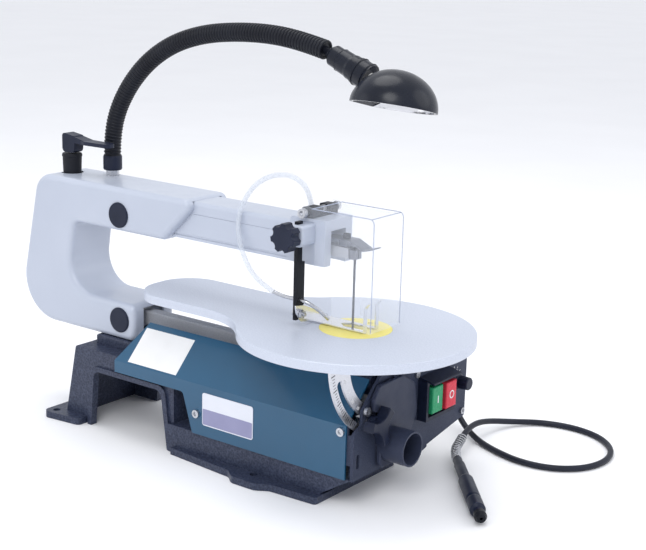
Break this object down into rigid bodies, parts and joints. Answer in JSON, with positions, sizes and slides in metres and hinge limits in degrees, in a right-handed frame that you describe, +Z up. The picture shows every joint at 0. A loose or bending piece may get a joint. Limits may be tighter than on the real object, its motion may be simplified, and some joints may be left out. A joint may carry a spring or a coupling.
{
  "type": "scroll saw",
  "caption": "Bench scroll saw: C-frame with parallel arms, tilting table, clear blade guard, swan-neck lamp, dust spigot and flexible-shaft handpiece.",
  "frame": {"origin": "centre of the four bench-bolt holes on the underside of the base", "axes": "+X towards the user (front of the table), +Y to the user's right, +Z up; the blade is at x = 0.234, the table top at z = 0.175"},
  "size_m": [0.6756, 0.437, 0.4841],
  "materials": {
    "cast_iron_slate": "hammered dark slate enamel",
    "grey_paint": "smooth light grey gloss paint",
    "blue_paint": "smooth blue gloss paint",
    "dark_paint": "fine-textured dark grey paint",
    "table_metal": "milled flat, fine brushed",
    "bare_steel": "bright machined steel",
    "scale_steel": "bright steel with engraved marks",
    "blade_steel": "blued spring steel",
    "black_oxide": "black oxide",
    "black_plastic": "satin black moulding",
    "dark_plastic": "fine-grained dark grey moulding",
    "yellow_plastic": "yellow moulding",
    "green_plastic": "green button",
    "red_plastic": "red button",
    "clear_plastic": "clear polycarbonate",
    "rubber": "black rubber",
    "lamp_gloss": "glossy black",
    "mirror_metal": "bright reflector",
    "lamp_glass": "frosted bulb",
    "bronze": "sintered bronze",
    "cast_arm": "as cast",
    "circuit_green": "circuit board",
    "air_tube": "clear soft tube",
    "shaft_jacket": "dark grey jacket"
  },
  "bodies": {
    "saw": {"base_casting": "cast_iron_slate", "frame_half_left": "grey_paint", "frame_half_right": "grey_paint", "arm_casting": "grey_paint", "arm_side_plate": "grey_paint", "pivot_pins": "bare_steel", "pivot_caps": "black_plastic", "pivot_bushes": "bronze", "side_cover": "blue_paint", "tilt_bracket": "dark_paint", "front_panel": "dark_paint", "dust_port": "dark_plastic", "switch_frame": "black_plastic", "control_board": "circuit_green", "motor_case": "black_oxide", "trunnion_seat": "cast_iron_slate", "lock_bolt": "bare_steel", "air_hose": "air_tube", "air_bellows": "rubber", "guard_bracket": "black_oxide", "guard_bolt": "bare_steel", "lamp_nut": "bare_steel", "shaft_coupling": "black_plastic", "flex_shaft": "shaft_jacket", "handpiece": "black_plastic", "housing_screws": "bare_steel", "cable_gland": "black_plastic"},
    "table": {"table": "table_metal", "table_insert": "yellow_plastic", "tilt_scale": "scale_steel", "table_trunnion": "cast_arm"},
    "lock_knob": {"lock_knob": "dark_plastic"},
    "upper_arm": {"upper_arm": "cast_arm"},
    "lower_arm": {"lower_arm": "cast_arm"},
    "blade": {"blade": "blade_steel", "lower_blade_clamp": "bare_steel"},
    "upper_clamp": {"upper_blade_clamp": "bare_steel", "upper_clamp_screw": "black_oxide"},
    "tension_nut": {"tension_nut": "bare_steel"},
    "tension_rod": {"tension_rod": "bare_steel", "tension_knob": "rubber"},
    "tension_lever": {"tension_lever": "black_plastic"},
    "motor_shaft": {"motor_shaft": "bare_steel"},
    "connecting_rod": {"connecting_rod": "cast_arm"},
    "hold_down": {"hold_down_bar": "black_oxide", "foot_screw": "bare_steel", "blower_tube": "bare_steel"},
    "foot": {"hold_down_foot": "bare_steel"},
    "hold_down_knob": {"hold_down_knob": "black_plastic"},
    "guard": {"blade_guard": "clear_plastic"},
    "start_button": {"start_button": "green_plastic"},
    "stop_button": {"stop_button": "red_plastic"},
    "speed_knob": {"speed_knob": "black_plastic"},
    "lamp_arm": {"lamp_collar": "black_plastic", "lamp_gooseneck": "black_plastic"},
    "lamp_head": {"lamp_neck": "lamp_gloss", "lamp_shade": "lamp_gloss", "lamp_reflector": "mirror_metal", "lamp_bulb": "lamp_glass"},
    "collet": {"collet": "bare_steel"}
  },
  "joints": [
    {"name": "table_tilt", "type": "hinge", "parent": "saw", "child": "table", "pos_m": [0.269, 0, 0.171], "axis": [1, 0, 0], "range_deg": [0, 45]},
    {"name": "lock_knob_turn", "type": "hinge", "parent": "saw", "child": "lock_knob", "pos_m": [0.294, -0.03761, 0.09034], "axis": [1, 0, 0], "range_deg": [-180, 180]},
    {"name": "lower_arm_swing", "type": "hinge", "parent": "saw", "child": "lower_arm", "pos_m": [-0.078, 0, 0.13], "axis": [0, 1, 0], "range_deg": [-1.42, 1.42]},
    {"name": "upper_arm_swing", "type": "hinge", "parent": "saw", "child": "upper_arm", "pos_m": [-0.078, 0, 0.256], "axis": [0, 1, 0], "range_deg": [-1.42, 1.42]},
    {"name": "blade_hinge", "type": "hinge", "parent": "lower_arm", "child": "blade", "pos_m": [0.224, 0, 0.13], "axis": [0, 1, 0], "range_deg": [-1.42, 1.42]},
    {"name": "upper_clamp_hinge", "type": "hinge", "parent": "upper_arm", "child": "upper_clamp", "pos_m": [0.224, 0, 0.256], "axis": [0, 1, 0], "range_deg": [-1.42, 1.42]},
    {"name": "tension_nut_hinge", "type": "hinge", "parent": "lower_arm", "child": "tension_nut", "pos_m": [-0.192, 0, 0.13], "axis": [0, 1, 0], "range_deg": [-1.42, 1.42]},
    {"name": "tension_turn", "type": "hinge", "parent": "tension_nut", "child": "tension_rod", "pos_m": [-0.192, 0, 0.175], "axis": [0, 0, 1], "range_deg": [-270, 0]},
    {"name": "tension_lever_flip", "type": "hinge", "parent": "tension_rod", "child": "tension_lever", "pos_m": [-0.193, 0, 0.3235], "axis": [0, 1, 0], "range_deg": [-100, 0]},
    {"name": "motor_spin", "type": "hinge", "parent": "saw", "child": "motor_shaft", "pos_m": [0.164, 0, 0.08], "axis": [0, 1, 0], "continuous": true},
    {"name": "connecting_rod_hinge", "type": "hinge", "parent": "lower_arm", "child": "connecting_rod", "pos_m": [0.164, 0, 0.13], "axis": [0, 1, 0], "range_deg": [-1.42, 1.42]},
    {"name": "hold_down_slide", "type": "slide", "parent": "saw", "child": "hold_down", "axis": [0, 0, 1], "range_m": [0, 0.02], "deforming": ["air_hose"]},
    {"name": "foot_tilt", "type": "hinge", "parent": "hold_down", "child": "foot", "pos_m": [0.19, -0.037, 0.19], "axis": [1, 0, 0], "range_deg": [0, 45]},
    {"name": "hold_down_knob_turn", "type": "hinge", "parent": "saw", "child": "hold_down_knob", "pos_m": [0.188, -0.06, 0.275], "axis": [0, 1, 0], "range_deg": [-180, 180]},
    {"name": "guard_lift", "type": "hinge", "parent": "saw", "child": "guard", "pos_m": [0.187, 0, 0.296], "axis": [0, 1, 0], "range_deg": [-90, 0]},
    {"name": "start_press", "type": "slide", "parent": "saw", "child": "start_button", "axis": [-1, 0, 0], "range_m": [0, 0.0035], "stiffness_N_per_m": 400},
    {"name": "stop_press", "type": "slide", "parent": "saw", "child": "stop_button", "axis": [-1, 0, 0], "range_m": [0, 0.0035], "stiffness_N_per_m": 400},
    {"name": "speed_turn", "type": "hinge", "parent": "saw", "child": "speed_knob", "pos_m": [0.294, 0.123, 0.097], "axis": [1, 0, 0], "range_deg": [-270, 0]},
    {"name": "lamp_swivel", "type": "hinge", "parent": "saw", "child": "lamp_arm", "pos_m": [-0.143, 0.02, 0.295], "axis": [0, 0, 1], "range_deg": [-60, 60]},
    {"name": "lamp_tilt", "type": "hinge", "parent": "lamp_arm", "child": "lamp_head", "pos_m": [0.196, 0.002, 0.459], "axis": [0, 1, 0], "range_deg": [-30, 45]},
    {"name": "collet_spin", "type": "hinge", "parent": "saw", "child": "collet", "pos_m": [0.395, 0.00661, 0.0086], "axis": [0.65, -0.76, 0], "continuous": true}
  ],
  "couplings": [
    {"joint": "upper_arm_swing", "follows": "lower_arm_swing", "ratio": 1},
    {"joint": "blade_hinge", "follows": "lower_arm_swing", "ratio": -1},
    {"joint": "upper_clamp_hinge", "follows": "lower_arm_swing", "ratio": -1},
    {"joint": "tension_nut_hinge", "follows": "lower_arm_swing", "ratio": -1},
    {"joint": "connecting_rod_hinge", "follows": "lower_arm_swing", "ratio": -1},
    {"joint": "foot_tilt", "follows": "table_tilt", "ratio": 1},
    {"joint": "guard_lift", "follows": "table_tilt", "ratio": -2},
    {"joint": "collet_spin", "follows": "motor_spin", "ratio": 1}
  ]
}
